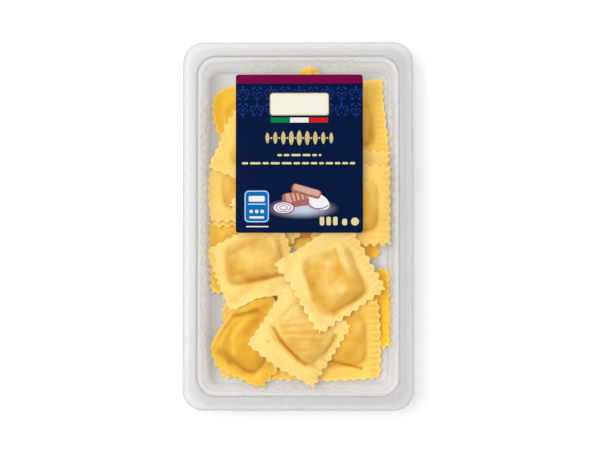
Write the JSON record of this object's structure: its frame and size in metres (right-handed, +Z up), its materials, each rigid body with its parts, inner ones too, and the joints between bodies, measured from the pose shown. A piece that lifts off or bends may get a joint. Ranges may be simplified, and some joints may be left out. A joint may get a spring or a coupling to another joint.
{
  "type": "pack of ravioli",
  "caption": "Sealed pack of large square ravioli: a clear tray with fluted walls and a wide flat rim, clear lidding film and a printed label on it.",
  "frame": {"origin": "on the ground under the middle of the tray", "axes": "+X across the pack, +Y along it to the top edge of the label, +Z up through the film"},
  "size_m": [0.139, 0.222, 0.0385],
  "materials": {
    "clear_tray": "clear formed plastic",
    "clear_film": "clear stretched film",
    "printed_label": "glossy print, dark blue",
    "egg_pasta": "fresh egg pasta, satin"
  },
  "bodies": {
    "root": {"tray": "clear_tray", "raviolo_01": "egg_pasta", "raviolo_02": "egg_pasta", "raviolo_03": "egg_pasta", "raviolo_04": "egg_pasta", "raviolo_05": "egg_pasta", "raviolo_06": "egg_pasta", "raviolo_07": "egg_pasta", "raviolo_08": "egg_pasta", "raviolo_09": "egg_pasta", "raviolo_10": "egg_pasta", "raviolo_11": "egg_pasta", "raviolo_12": "egg_pasta", "raviolo_13": "egg_pasta", "raviolo_14": "egg_pasta", "raviolo_15": "egg_pasta", "raviolo_16": "egg_pasta", "raviolo_17": "egg_pasta", "raviolo_18": "egg_pasta", "raviolo_19": "egg_pasta", "raviolo_20": "egg_pasta", "lid_film": "clear_film", "label": "printed_label"}
  },
  "joints": []
}
